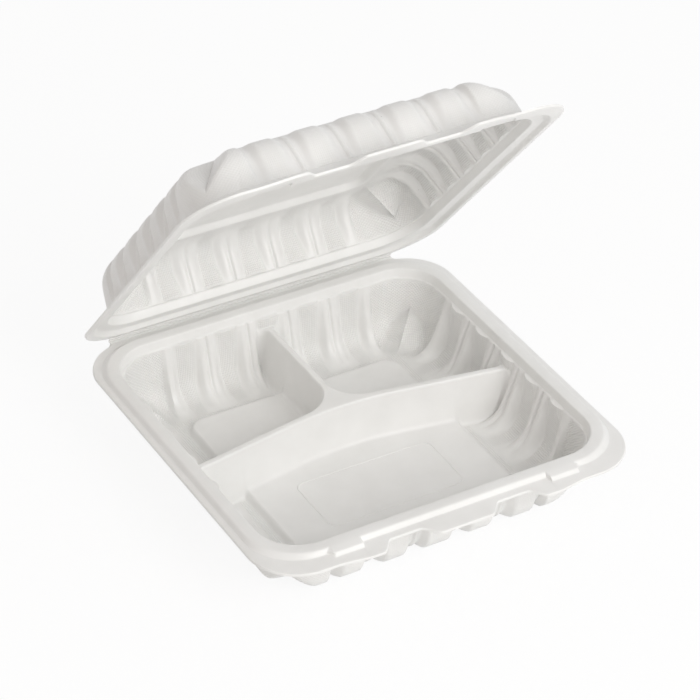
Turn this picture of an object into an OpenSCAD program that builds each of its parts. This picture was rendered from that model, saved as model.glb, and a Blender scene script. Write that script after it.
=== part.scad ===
// Three-compartment takeout container: one thin formed plastic sheet that
// makes a base tray and a lid, joined at the back by a living hinge.
// +X runs along the front edge, -Y is the latch side, +Y the hinge side.
// The origin is the centre of the footprint, on the surface it stands on.

/* [Container] */
// Side length of the square container across its outer flange
flange_span = 226; // [200:1:260]
// Thickness of the formed sheet
sheet_t = 0.4; // [0.3:0.05:0.6]
// Height of the top of the base flange above the surface
base_height = 38.5; // [32:0.5:60]
// Depth of the lid from its flange to its flat top plate
lid_depth = 33; // [26:0.5:50]
// Opening angle of the lid, 0 is closed
lid_angle = 50.6; // [0:1:180]

/* [Rim] */
// Width of the outer flange
flange_w = 3.3; // [2.5:0.1:6]
// How far the edge of the flange turns away from the other half
lip_drop = 1.3; // [0.8:0.1:2]
// Horizontal run of the step between flange and land
step_run = 1.9; // [1.2:0.1:3]
// Rise of the land above the flange
land_rise = 2.7; // [2:0.1:4]
// Width of the flat land
land_w = 6.6; // [4:0.1:9]
// Horizontal run of the smooth band inside the land
band_run = 1.4; // [0.8:0.1:2.5]
// Height of the smooth band
band_h = 4.9; // [3:0.1:7]
// Depth of the ledge where the walls start
ledge_drop = 0.4; // [0.2:0.1:1]
// Radius of the flange corners
flange_corner_r = 28; // [24:1:32]
// Radius of the land corners at the outer edge
land_corner_r = 31; // [28:1:33]
// How much further in the rim stands on the latch side than on the others
latch_inset = 6.6; // [4:0.2:9]
// How far the front lobes stand out past the flange line
lobe_out = 2.5; // [1:0.1:4]
// How far the flange is cut back between the front lobes
lobe_gap_in = 5.5; // [3:0.1:6]

/* [Walls] */
// Radius of the wall corners at the top of the walls
wall_corner_r = 22.8; // [18:0.2:26]
// Least width of the ribs between neighbouring flutes
rib_w = 5; // [4:0.5:7]
// Distance from the last rib on each wall to the foot of the corner
rib_margin = 3.8; // [2:0.2:6]
// Width of the flat panel at the back of a flute
flute_panel_w = 14; // [10:0.5:17]
// Width of the slanted flank on each side of a panel
flute_flank_w = 3; // [2:0.1:4]
// How much each panel edge nears the flute's centre on the way down
flute_taper = 2.5; // [0:0.1:4]
// Depth of the groove that splits each rib in two
rib_groove = 0.7; // [0.3:0.1:1]
// Width of the single rib beside each corner
end_rib_w = 2.4; // [1.5:0.1:3]
// Angle of the ribs from upright
rib_draft = 18; // [14:1:22]
// Radius where the ribs run out onto the floor
rib_foot_r = 17; // [12:1:20]
// Angle of the flute panels from upright
panel_draft = 7; // [4:1:9]
// Radius where the panels meet the floor
panel_foot_r = 9; // [6:1:11]
// Bulge of each panel where it meets the ledge
panel_pillow = 2.2; // [0.5:0.1:3]
// Distance inside the flange line where the corner facets start
corner_facet_in = 39.5; // [37:0.5:42]
// Rise of the corner facets towards the corner
corner_facet_slope = 0.52; // [0.3:0.02:0.6]

/* [Floor and dividers] */
// Width of the flat margin between the ribs and the panel raised in the floor
floor_margin = 8.9; // [6:0.1:12]
// Height of that panel above the floor around it
floor_panel_h = 4; // [2:0.1:5]
// Corner radius of the panel
floor_panel_r = 8; // [5:1:10]
// Height of the divider tops above the surface
divider_h = 30; // [22:0.5:36]
// Width of the divider tops
divider_w = 3.8; // [3:0.1:6]
// Run of each divider side from top to floor
divider_run = 4.6; // [3.5:0.1:6]
// Distance inside the flange line where the dividers meet the walls
divider_end_in = 20; // [18:0.5:22]
// Position of the main divider at the side walls, from the centre
divider_end_y = -1; // [-4:0.5:3]
// Rise of the main divider towards the back for each mm along it
divider_slope = 0.165; // [0.05:0.005:0.2]
// Half length of the curved middle of the main divider
divider_bend = 32; // [24:1:40]
// Radius of the corners where the two dividers meet
divider_corner_r = 20; // [14:1:24]

/* [Hinge and latches] */
// Distance from the base flange to the hinge axis
hinge_web = 3.5; // [2:0.1:5]
// Distance from each side of the flange to the end of the hinge
hinge_end_in = 22; // [18:0.5:23]
// Clearance between the two halves at the flange
close_gap = 0.3; // [0.2:0.05:0.5]
// Clearance at the hinge line
hinge_gap = 0.2; // [0.15:0.05:0.3]
// Width of a latch lug
lug_w = 18.6; // [14:0.2:24]
// How far a lug stands out from the step
lug_out = 4.4; // [3:0.1:5]
// How far the top of a lug lies below the land
lug_drop = 0.6; // [0.4:0.1:1.2]
// Clearance of the lid pockets around the lugs
pocket_gap = 0.8; // [0.5:0.1:1.2]

/* [Hidden] */

// Distances inward from the flange line to the edges of the rim
step_foot_in = flange_w;
land_out_in = step_foot_in + step_run;
land_in_in = land_out_in + land_w;
band_foot_in = land_in_in + band_run;
ledge_w = 1;
wall_top_in = band_foot_in + ledge_w;
span_half = flange_span / 2;

// Heights of the walls in the tray and in the lid
tray_depth = base_height + land_rise - band_h - ledge_drop - sheet_t;
lid_wall_h = lid_depth - land_rise - band_h - ledge_drop;

// Distance inward from the flange line to where the ribs have run out, for
// a straight wall that leans by draft and turns onto the floor with foot_r
function foot_in(draft, foot_r, top_in, depth) =
    top_in + (depth - foot_r * (1 - sin(draft))) * tan(draft) + foot_r * cos(draft);
rib_foot_in = foot_in(rib_draft, rib_foot_r, wall_top_in, max(tray_depth, lid_wall_h));

// Outline on the floor just past the feet of the ribs
ring_gap = 1.9;
ring_foot = span_half - rib_foot_in - ring_gap;
foot_corner_r = 4;

// Where the straight stretches end, on the land, at the walls' top and foot
straight_rim = span_half - land_out_in - land_corner_r;
straight_top = span_half - wall_top_in - wall_corner_r;
straight_foot = ring_foot - foot_corner_r;
side_reach = max(straight_rim, straight_top) + 4;

// Raised panel of the floor
panel_half = span_half - rib_foot_in - floor_margin;
panel_straight = panel_half - floor_panel_r;
RIGHT = 0;
BACK = 1;
LEFT = 2;
FRONT = 3;

// Hinge axis, at the middle of the gap between the two halves
axis_y = span_half + hinge_web;
axis_z = base_height + close_gap / 2;

function unit(v) = norm(v) < 1e-9 ? [0, 0, 0] : v / norm(v);
function lerp(a, b, t) = a + (b - a) * t;
function clamp01(t) = max(0, min(1, t));
function ease(t) = let (u = clamp01(t)) u * u * (3 - 2 * u);

// Turns a point given as distance out and position along into the side's place
function on_side(side, out, along) =
    side == RIGHT ? [out, along] :
    side == BACK ? [-along, out] :
    side == LEFT ? [-out, -along] : [along, -out];

// A point of a rounded square outline. turn is -1 on a straight stretch,
// and otherwise the angle around the corner that follows the side.
function outline(side, along, turn, half, straight) =
    turn < 0
    ? on_side(side, half, along)
    : let (r = half - straight)
      on_side(side, straight + r * cos(turn), straight + r * sin(turn));

// Moves a point of an outline with this half size to where the tub sits,
// which is nearer to the hinge than the flange is. dir is 1 when +Y is
// the hinge side. Near the rim the tub is squeezed, so the hinge side stays.
function seat(xy, half, dir) =
    let (
        shift = latch_inset / 2,
        rim = clamp01((half - panel_half) / (span_half - wall_top_in - panel_half))
    )
    [xy[0], dir * shift + xy[1] * (1 - shift * rim / half)];

// Place in the round trip, used to pair points of two outlines
function trip(side, along, turn, straight) =
    let (u = straight / side_reach)
    2 * side + (turn < 0 ? along / side_reach : u + (2 - 2 * u) * turn / 90);

// Underside point: one sheet thickness along the mitred normal of the
// four faces that meet at p. e, n, w and s are its neighbours.
function under(p, e, n, w, s) =
    let (
        m = unit(cross(e - p, n - p)) + unit(cross(n - p, w - p))
            + unit(cross(w - p, s - p)) + unit(cross(s - p, e - p)),
        c = (norm(e - p) * norm(n - p) > 0 ? 1 : 0) + (norm(n - p) * norm(w - p) > 0 ? 1 : 0)
            + (norm(w - p) * norm(s - p) > 0 ? 1 : 0) + (norm(s - p) * norm(e - p) > 0 ? 1 : 0),
        k = min(c / max(m * m, 1e-6), 2.2 / max(norm(m), 1e-6))
    )
    p - sheet_t * m * k;

// Underside of a stack of closed loops. Past the last loop the sheet runs
// on inward, and past the first it turns down or runs on outward.
function under_loops(loops, outer) =
    let (last = len(loops) - 1, n = len(loops[0]))
    [for (k = [0:last])
        [for (i = [0:n - 1])
            let (
                p = loops[k][i],
                flat = unit([p[0], p[1], 0]),
                out_p = k == 0 ? p + (outer == "down" ? [0, 0, -1] : flat) : loops[k - 1][i],
                in_p = k == last ? p - flat : loops[k + 1][i]
            )
            under(p, loops[k][(i + 1) % n], in_p, loops[k][(i + n - 1) % n], out_p)]];

// Faces between two loops of the same length, outer loop first
function ring_faces(a, b, n) =
    [for (i = [0:n - 1]) each [
        [a + i, a + (i + 1) % n, b + (i + 1) % n],
        [a + i, b + (i + 1) % n, b + i]]];

// Faces between two loops of different lengths, paired by their trip values
function zip_faces(a, ta, b, tb) =
    let (
        na = len(ta),
        nb = len(tb),
        next_a = [for (i = [0:na - 1]) i < na - 1 ? ta[i + 1] : ta[0] + 8],
        next_b = [for (j = [0:nb - 1]) j < nb - 1 ? tb[j + 1] : tb[0] + 8]
    )
    concat(
        [for (i = [0:na - 1])
            let (j = len([for (t = next_b) if (t < next_a[i] - 1e-6) 1]) % nb)
            [a + i, a + (i + 1) % na, b + j]],
        [for (j = [0:nb - 1])
            let (i = len([for (t = next_a) if (t < next_b[j] + 1e-6) 1]) % na)
            [b + j, a + i, b + (j + 1) % nb]]);

function flipped(faces) = [for (f = faces) [f[2], f[1], f[0]]];

// Latch lugs, placed so that the lid's wider pockets end just short of the
// land's corners. Each side of a lug or pocket slopes over lug_side_run.
lug_side_run = 0.8;
lug_end_gap = 0.3;
lug_x = straight_rim - lug_end_gap - lug_side_run / 2 - pocket_gap - lug_w / 2;
lug_slope = 0.6;

// Places along the latch side, with the four edges of a lug that is wider
// by grow on each side
LOBE_STEPS = 11;
function lug_edges(grow) =
    [for (e = [-1, 1]) each [for (f = [-1, 1])
        lug_x + e * (lug_w / 2 + grow) + f * lug_side_run / 2]];
function latch_half(grow) =
    let (first = lug_edges(grow)[0])
    concat([for (i = [1:LOBE_STEPS - 1]) first * i / LOBE_STEPS], lug_edges(grow));
function latch_marks(grow) =
    let (h = latch_half(grow))
    concat([for (i = [len(h) - 1:-1:0]) -h[i]], [0], h);

// Front lobes: half width of the middle one, the run of each curve, the
// width left beside a lug, and how far the outer ones fade past the lugs
lobe_half = 15;
lobe_run = 9;
lobe_beside_lug = 6.3;
lobe_fade = 22;

// Rim stations, as [side, along, turn, trip]. The latch side has extra
// ones for its lobes and lugs, and the hinge side for the hinge's ends.
hinge_turn = asin((flange_corner_r - hinge_end_in) / flange_corner_r);
corner_turns = [0, 15, 30, 45, 60, 75, 90];
function turns_at(side, hinge_side) =
    side == hinge_side ? concat([0, hinge_turn, hinge_turn + 2], [for (t = corner_turns) if (t > 20) t]) :
    (side + 1) % 4 == hinge_side ?
        concat([for (t = corner_turns) if (t < 70) t], [88 - hinge_turn, 90 - hinge_turn, 90]) :
    corner_turns;
function rim_stations(hinge_side, grow) =
    [for (side = [0:3]) each concat(
        side == (hinge_side + 2) % 4
            ? [for (a = latch_marks(grow)) [side, a, -1, trip(side, a, -1, straight_rim)]]
            : [],
        [for (t = turns_at(side, hinge_side)) [side, 0, t, trip(side, 0, t, straight_rim)]])];

// How far the lobes of the latch side stand out at a station
function lobe(st, hinge_side) =
    let (
        front = (hinge_side + 2) % 4,
        a = abs(st[1]),
        gap_end = lug_x - lug_w / 2 - lobe_beside_lug - lobe_run,
        gap = ease((a - lobe_half) / lobe_run) * (1 - ease((a - gap_end) / lobe_run))
    )
    st[0] == front && st[2] < 0
        ? lerp(lobe_out, -lobe_gap_in, gap) - lobe_out * ease((a - straight_rim) / lobe_fade + 1)
        : 0;
function on_hinge(st, hinge_side) =
    (st[0] == hinge_side && st[2] >= 0 && st[2] < hinge_turn + 1)
    || ((st[0] + 1) % 4 == hinge_side && st[2] > 89 - hinge_turn);
function on_lug(st, hinge_side, grow) =
    st[0] == (hinge_side + 2) % 4 && st[2] < 0
    && abs(abs(st[1]) - lug_x) < lug_w / 2 + grow;

// One point of the rim, moved outward by out. in_d is the distance inward
// from the flange line.
function rim_point(st, in_d, corner_r, z, out, dir) =
    let (
        half = span_half - in_d,
        q = outline(st[0], st[1], st[2], half, half - corner_r),
        d = st[2] < 0 ? on_side(st[0], 1, 0) : on_side(st[0], cos(st[2]), sin(st[2])),
        xy = in_d > 0 ? seat(q, half, dir) : q
    )
    [xy[0] + d[0] * out, xy[1] + d[1] * out, z];

// How far the lip flares out on its way down, and how far the flange dips
// at the hinge and at the hinge's own edge
lip_flare = 0.3;
hinge_dip = 0.3;
hinge_edge_dip = 0.05;

// Point halfway up the step, as shares of its run, rise and corner change
step_mid_run = 0.5;
step_mid_rise = 0.55;
step_mid_turn = 0.8;

// The five loops of the rim, from the edge of the flange to the land.
// up is 1 on the base and -1 on the lid, whose land drops away instead.
// The lugs are wider, further out and nearer to the land by grow.
function rim_loops(hinge_side, up, grow) =
    let (
        sts = rim_stations(hinge_side, grow),
        lug_step = lug_out + grow,
        lug_top = land_rise - lug_drop + grow,
        foot_r = lerp(flange_corner_r, land_corner_r, 0.5),
        mid_r = lerp(flange_corner_r, land_corner_r, step_mid_turn)
    )
    [
        [for (st = sts) on_hinge(st, hinge_side)
            ? [rim_point(st, 0, flange_corner_r, 0, 0, up)[0],
               up * (axis_y - hinge_gap), -hinge_edge_dip]
            : rim_point(st, 0, flange_corner_r, -lip_drop, lobe(st, hinge_side) + lip_flare, up)],
        [for (st = sts) on_hinge(st, hinge_side)
            ? [rim_point(st, 0, flange_corner_r, 0, 0, up)[0], up * span_half, -hinge_dip]
            : rim_point(st, 0, flange_corner_r, 0, lobe(st, hinge_side), up)],
        [for (st = sts) rim_point(
            st, step_foot_in, foot_r, 0, on_lug(st, hinge_side, grow) ? lug_step : 0, up)],
        [for (st = sts) rim_point(
            st, step_foot_in + step_run * step_mid_run, mid_r,
            up * (on_lug(st, hinge_side, grow) ? lug_top : land_rise * step_mid_rise),
            on_lug(st, hinge_side, grow) ? lug_step - lug_slope : 0, up)],
        [for (st = sts) rim_point(st, land_out_in, land_corner_r, up * land_rise, 0, up)]
    ];

// Wall stations, as [side, along, turn, rib, pillow, divider, taper].
// rib is 1 on a rib and 0 on a panel, and pillow is 1 mid-panel.
// divider is 0, or the side of the divider's top edge that it lies on.
// taper is how far the station nears the flute's centre towards the floor.
// The walls take as many flutes as fit, one in the middle and the rest to
// each side of it, and share the room left over among the ribs.
flute_half = flute_panel_w / 2 + flute_flank_w;
rib_end = straight_foot - rib_margin;
flute_room = rib_end - end_rib_w - flute_half;
side_flutes = floor(flute_room / (2 * flute_half + rib_w));
flute_pitch = flute_room / max(1, side_flutes);
rib_taper = 0.8;
rib_relief = 5;
corner_pillow = 0.4;
function flute_marks(c, split) =
    let (taper = split ? flute_panel_w / 2 - foot_half : flute_taper)
    concat(
        [[c - flute_half, 1, 0, 0, rib_taper], [c - flute_panel_w / 2, 0, 0, 0, taper]],
        split ? [[c, 0, 1, -1, 0], [c, 0, 1, 1, 0]] : [[c, 0, 1, 0, 0]],
        [[c + flute_panel_w / 2, 0, 0, 0, -taper], [c + flute_half, 1, 0, 0, -rib_taper]]);
function side_marks(split) = concat(
    [[-rib_end, 1, 0, 0, 0]],
    [for (f = [-side_flutes:side_flutes]) each concat(
        flute_marks(f * flute_pitch, split && f == 0),
        f < side_flutes ? [[(f + 0.5) * flute_pitch, 1 - rib_groove / rib_relief, 0, 0, 0]] : [])],
    [[rib_end, 1, 0, 0, 0]]);
function wall_stations(divided) =
    [for (side = [0:3]) each concat(
        [for (m = side_marks(divided && side != FRONT))
            [side, m[0], -1, m[1], m[2], m[3], m[4]]],
        [for (t = [0, 22.5, 45, 67.5, 90])
            [side, 0, t, 0, t == 45 ? 0 : corner_pillow, 0, 0]])];

// Centre line of the main divider
divider_reach = span_half - divider_end_in;
function divider_y(x) =
    let (
        a = abs(x),
        b = divider_bend,
        bend_y = divider_end_y + divider_slope * (divider_reach - b)
    )
    a > b
    ? bend_y - divider_slope * (a - b)
    : bend_y + divider_slope * (b * b - a * a) / (2 * b);

// Wall profile, as [distance inward, height], for a straight wall that
// runs down at an angle and turns onto the floor with a radius. t runs
// from 0 at the top, through 1 at the end of the straight, to 2.
function wall_profile(t, draft, foot_r, top_in, top_z, floor_z) =
    let (
        turn_z = floor_z + foot_r * (1 - sin(draft)),
        turn_in = top_in + (top_z - turn_z) * tan(draft),
        a = (90 - draft) * (2 - t)
    )
    t <= 1
    ? [lerp(top_in, turn_in, t), lerp(top_z, turn_z, t)]
    : [turn_in + foot_r * (cos(draft) - sin(a)), floor_z + foot_r * (1 - cos(a))];

// Height of the two slanted facets low in each corner, which meet in a
// ridge and fall away from it sideways
facet_fall = 0.42;
facet_ridge = 0.8;
function facet_rise(x, y, on_ridge) =
    corner_facet_slope * (abs(x) + abs(y) - 2 * (span_half - corner_facet_in))
    - facet_fall * abs(abs(x) - abs(y)) + (on_ridge ? facet_ridge : 0);

// How much of the main divider's course a wall point follows: all of it on
// the divider, and less the further it lies to its side
pull_top = 20;
pull_foot = panel_half - 2;
function divider_pull(side, along, half) =
    let (
        down = clamp01((divider_reach - half) / (divider_reach - panel_half)),
        reach = lerp(pull_top, pull_foot, down)
    )
    side == RIGHT || side == LEFT
        ? divider_y(half) * max(0, 1 - abs(along) / reach) * (side == RIGHT ? 1 : -1)
        : 0;

// One point of a wall, at step t of its profile, in a tub whose walls run
// from top_z to floor_z. divided is 1 in the base and 0 in the lid.
panel_back = 0.4;
function wall_point(st, t, top_z, floor_z, divided) =
    let (
        rib = wall_profile(t, rib_draft, rib_foot_r, wall_top_in, top_z, floor_z),
        fill = t < 1 ? panel_pillow * st[4] * (1 - t) * (1 - t) : 0,
        panel = wall_profile(
            t, panel_draft, panel_foot_r, wall_top_in - panel_back, top_z, floor_z),
        q = lerp(panel, rib, st[3]) + [fill, 0],
        down = clamp01(t / 2),
        half = t > 2 ? ring_foot : span_half - q[0],
        straight = lerp(straight_top, straight_foot, down),
        along = st[5] != 0 ? st[5] * divider_w / 2 : st[1] + st[6] * down,
        pull = divided * divider_pull(st[0], along, half),
        xy = outline(st[0], along + pull, st[2], half, min(straight, half - foot_corner_r)),
        low = st[2] < 0 ? floor_z : floor_z + facet_rise(xy[0], xy[1], st[2] == 45)
    )
    [xy[0], xy[1], max(t > 2 ? floor_z : q[1], low, st[5] != 0 ? divider_h : floor_z), half];

WALL_STEPS = [0, 0.5, 1, 1.35, 1.7, 2, 3];

// Loops from the inner edge of the land down to the floor. up is 1 on
// the base and -1 on the lid, and rim_z is the height of the flange.
function wall_loops(sts, rim_z, up, floor_z) =
    let (
        land_z = rim_z + up * land_rise,
        band_z = land_z - band_h,
        top_z = band_z - ledge_drop
    )
    concat(
        [for (q = [[land_in_in, land_z], [band_foot_in, band_z]])
            [for (st = sts)
                let (
                    half = span_half - q[0],
                    shift = st[5] * divider_w / 2,
                    xy = outline(st[0], st[1] + shift, st[2], half, straight_top),
                    p = seat(xy, half, up)
                )
                [p[0], p[1], q[1]]]],
        [for (t = WALL_STEPS) [for (st = sts)
            let (
                w = wall_point(st, t, top_z, floor_z, up > 0 ? 1 : 0),
                p = seat([w[0], w[1]], w[3], up)
            )
            [p[0], p[1], w[2]]]]);

function wall_trips(sts) =
    [for (st = sts)
        trip(st[0], st[5] != 0 ? st[5] * divider_w / 2 : st[1], st[2], straight_foot)];

// Grid lines of the floor panel along X, mirrored about the middle
top_half = divider_w / 2;
foot_half = top_half + divider_run;
bend_x = top_half + divider_corner_r;
RIGHT_LINES = [
    top_half, foot_half, bend_x, lerp(bend_x, panel_straight, 0.5), panel_straight, panel_half];
X_LINES = concat([for (i = [5:-1:0]) -RIGHT_LINES[i]], RIGHT_LINES);
// Rows: two at the front, one between, the main divider's front foot and
// edge, its back edge and foot, the end of the rounded corners, and the back
ROWS = 11;
FRONT_FOOT = 3;
FRONT_EDGE = 4;
BACK_EDGE = 5;
BACK_FOOT = 6;
BEND_ROW = 7;
COLS = len(X_LINES);
LEFT_EDGE = 5;
RIGHT_EDGE = 6;

// Place of row j along Y, where c is the main divider's centre at this
// column and d is its centre in the middle
function row_y(j, c, d) =
    j == 0 ? -panel_half :
    j == 1 ? -panel_straight :
    j == 2 ? lerp(-panel_straight, c - foot_half, 0.5) :
    j == FRONT_FOOT ? c - foot_half :
    j == FRONT_EDGE ? c - top_half :
    j == BACK_EDGE ? c + top_half :
    j == BACK_FOOT ? c + foot_half :
    j == BEND_ROW ? d + top_half + divider_corner_r :
    j == 8 ? lerp(d + top_half + divider_corner_r, panel_straight, 0.55) :
    j == 9 ? panel_straight : panel_half;

// Angle around the rounded corner between the dividers, for the grid
// points that lie on its top edge or foot, or -1 where there is none
function bend_angle(i, j) =
    let (k = i > 5 ? i : 11 - i)
    k == 6 && j == BEND_ROW ? 0 :
    k == 6 && j == BACK_FOOT ? 22.5 :
    k == 6 && j == BACK_EDGE ? 45 :
    k == 7 && j == BACK_EDGE ? 67.5 :
    k == 8 && j == BACK_EDGE ? 90 :
    k == 7 && j == BACK_FOOT ? 145 :
    k == 8 && j == BACK_FOOT ? 190 : -1;

function panel_xy(i, j) =
    let (
        x = X_LINES[i],
        a = bend_angle(i, j),
        s = sign(x),
        mid_y = divider_y(bend_x) + top_half + divider_corner_r,
        corner = (i == 0 || i == COLS - 1) && (j == 0 || j == ROWS - 1),
        r = a > 99 ? divider_corner_r - divider_run : divider_corner_r,
        b = a > 99 ? a - 100 : a
    )
    corner ? [s, j == 0 ? -1 : 1] * (panel_straight + floor_panel_r * sqrt(0.5)) :
    a >= 0 ? [s * (bend_x - r * cos(b)), mid_y - r * sin(b)] :
    [x, row_y(j, divider_y(x), divider_y(0))];

function on_divider(i, j) =
    j == FRONT_EDGE || j == BACK_EDGE || ((i == LEFT_EDGE || i == RIGHT_EDGE) && j >= BACK_EDGE);

// Grid indices around the edge of the panel, starting on the right side
// so that the points pair up with the walls' points
PANEL_EDGE = concat(
    [for (j = [1:ROWS - 1]) [COLS - 1, j]],
    [for (i = [COLS - 2:-1:0]) [i, ROWS - 1]],
    [for (j = [ROWS - 2:-1:0]) [0, j]],
    [for (i = [1:COLS - 1]) [i, 0]]);

// Places in the round trip of the panel's edge points. ys are the rows'
// places along Y without the bend of the main divider.
function edge_trips(ys) =
    [for (e = PANEL_EDGE)
        let (
            i = e[0],
            j = e[1],
            last = ROWS - 1,
            y = ys[j] / side_reach,
            x = X_LINES[i] / side_reach
        )
        i == COLS - 1 && j > 0 && j < last ? y :
        i == COLS - 1 ? (j == 0 ? 7 : 1) :
        i == 0 && j == last ? 3 :
        i == 0 && j > 0 ? 4 - y :
        i == 0 ? 5 :
        j == last ? 2 - x : 6 + x];

// Moves a point of the panel's edge out over the riser around it
riser_run = 0.8;
function off_panel(p) =
    [for (c = p) abs(c) > panel_straight + 0.1 ? c + sign(c) * riser_run : c];

// Underside of the panel's grid, where rise is the riser's height and
// held says which edge points run on level instead of over the riser
function under_grid(grid, rise, held) =
    [for (j = [0:ROWS - 1]) [for (i = [0:COLS - 1])
        let (
            p = grid[j][i],
            z = p[2] + (held[j][i] ? 0 : rise),
            e = i < COLS - 1 ? grid[j][i + 1] : [p[0] + riser_run, p[1], z],
            w = i > 0 ? grid[j][i - 1] : [p[0] - riser_run, p[1], z],
            n = j < ROWS - 1 ? grid[j + 1][i] : [p[0], p[1] + riser_run, z],
            s = j > 0 ? grid[j - 1][i] : [p[0], p[1] - riser_run, z]
        )
        under(p, e, n, w, s)]];

// Underside of the loop at the foot of the riser
function under_foot(foot, grid) =
    let (n = len(foot))
    [for (k = [0:n - 1])
        let (p = foot[k], e = PANEL_EDGE[k])
        under(
            p, foot[(k + 1) % n], grid[e[1]][e[0]], foot[(k + n - 1) % n],
            p + unit([p[0], p[1], 0]))];

// The whole base tray sheet as one closed solid
module base_tray() {
    floor_z = sheet_t;
    panel_z = floor_z + floor_panel_h;
    sts = wall_stations(true);
    rim = [for (l = rim_loops(BACK, 1, 0)) [for (p = l) p + [0, 0, base_height]]];
    wall = wall_loops(sts, base_height, 1, floor_z);
    held = [for (j = [0:ROWS - 1]) [for (i = [0:COLS - 1]) on_divider(i, j)]];
    grid = [for (j = [0:ROWS - 1]) [for (i = [0:COLS - 1])
        let (q = seat(panel_xy(i, j), panel_half, 1))
        [q[0], q[1], held[j][i] ? divider_h : panel_z]]];
    foot = [for (e = PANEL_EDGE)
        let (q = seat(off_panel(panel_xy(e[0], e[1])), panel_half, 1))
        [q[0], q[1], held[e[1]][e[0]] ? divider_h : floor_z]];
    color([0.87, 0.87, 0.85])
        sheet_solid(
            rim, [for (st = rim_stations(BACK, 0)) st[3]], wall, wall_trips(sts),
            foot, edge_trips([for (j = [0:ROWS - 1]) row_y(j, 0, 0)]),
            grid, under_grid(grid, -floor_panel_h, held), 0);
}

// The lid in the same way, built with its inside up and then turned over
module lid() {
    sts = wall_stations(false);
    rim = rim_loops(FRONT, -1, pocket_gap);
    wall = wall_loops(sts, 0, -1, -lid_depth);
    ys = [for (j = [0:ROWS - 1])
        j == 1 ? -panel_straight :
        j == ROWS - 2 ? panel_straight : lerp(-panel_half, panel_half, j / (ROWS - 1))];
    corner_xy = panel_straight + floor_panel_r * sqrt(0.5);
    flat_xy = [for (y = ys) [for (x = X_LINES)
        abs(x) == panel_half && abs(y) == panel_half
            ? [sign(x) * corner_xy, sign(y) * corner_xy]
            : [x, y]]];
    grid = [for (row = flat_xy) [for (q = row)
        let (p = seat(q, panel_half, -1)) [p[0], p[1], -lid_depth - floor_panel_h]]];
    foot = [for (e = PANEL_EDGE)
        let (p = seat(off_panel(flat_xy[e[1]][e[0]]), panel_half, -1))
        [p[0], p[1], -lid_depth]];
    level = [for (y = ys) [for (x = X_LINES) false]];
    color([0.84, 0.82, 0.8])
        translate([0, axis_y, axis_z])
            rotate([-lid_angle, 0, 0])
                translate([0, -axis_y, close_gap / 2])
                    rotate([180, 0, 0])
                        sheet_solid(
                            rim, [for (st = rim_stations(FRONT, pocket_gap)) st[3]],
                            wall, wall_trips(sts), foot, edge_trips(ys),
                            grid, under_grid(grid, floor_panel_h, level),
                            -lid_depth - floor_panel_h - sheet_t);
}

// Joins the loops and the panel grid, top and underside, into one solid,
// with no point of the underside below the plane at lowest
module sheet_solid(rim, rim_t, wall, wall_t, foot, foot_t, grid, grid_u, lowest) {
    rim_u = under_loops(rim, "down");
    wall_u = under_loops(wall, "out");
    foot_u = under_foot(foot, grid);
    m = len(rim[0]);
    n = len(wall[0]);
    p = len(foot);
    rim_n = len(rim);
    wall_n = len(wall);
    wall_0 = rim_n * m;
    foot_0 = wall_0 + wall_n * n;
    grid_0 = foot_0 + p;
    total = grid_0 + ROWS * COLS;
    skin = concat(
        [for (k = [0:rim_n - 2]) each ring_faces(k * m, (k + 1) * m, m)],
        zip_faces((rim_n - 1) * m, rim_t, wall_0, wall_t),
        [for (k = [0:wall_n - 2]) each ring_faces(wall_0 + k * n, wall_0 + (k + 1) * n, n)],
        zip_faces(wall_0 + (wall_n - 1) * n, wall_t, foot_0, foot_t),
        [for (k = [0:p - 1])
            let (
                c = PANEL_EDGE[k],
                d = PANEL_EDGE[(k + 1) % p],
                a = grid_0 + c[1] * COLS + c[0],
                b = grid_0 + d[1] * COLS + d[0]
            )
            each [[foot_0 + k, foot_0 + (k + 1) % p, b], [foot_0 + k, b, a]]],
        [for (j = [0:ROWS - 2]) for (i = [0:COLS - 2])
            let (a = grid_0 + j * COLS + i)
            each [[a, a + 1, a + COLS + 1], [a, a + COLS + 1, a + COLS]]]);
    rim_band = [for (i = [0:m - 1])
        each [[i, total + i, total + (i + 1) % m], [i, total + (i + 1) % m, (i + 1) % m]]];
    under_points = concat(
        [for (l = rim_u) each l], [for (l = wall_u) each l], foot_u, [for (r = grid_u) each r]);
    polyhedron(
        points = concat(
            [for (l = rim) each l], [for (l = wall) each l], foot, [for (r = grid) each r],
            [for (p = under_points) [p[0], p[1], max(p[2], lowest)]]),
        faces = concat(
            flipped(skin),
            [for (f = skin) [f[0] + total, f[1] + total, f[2] + total]],
            flipped(rim_band)),
        convexity = 8);
}

base_tray();
lid();
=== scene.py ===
"""Looks of a three-compartment takeout container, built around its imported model."""
import math

import bpy
import numpy as np
from mathutils import Matrix, Vector
from mathutils.geometry import delaunay_2d_cdt


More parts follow.
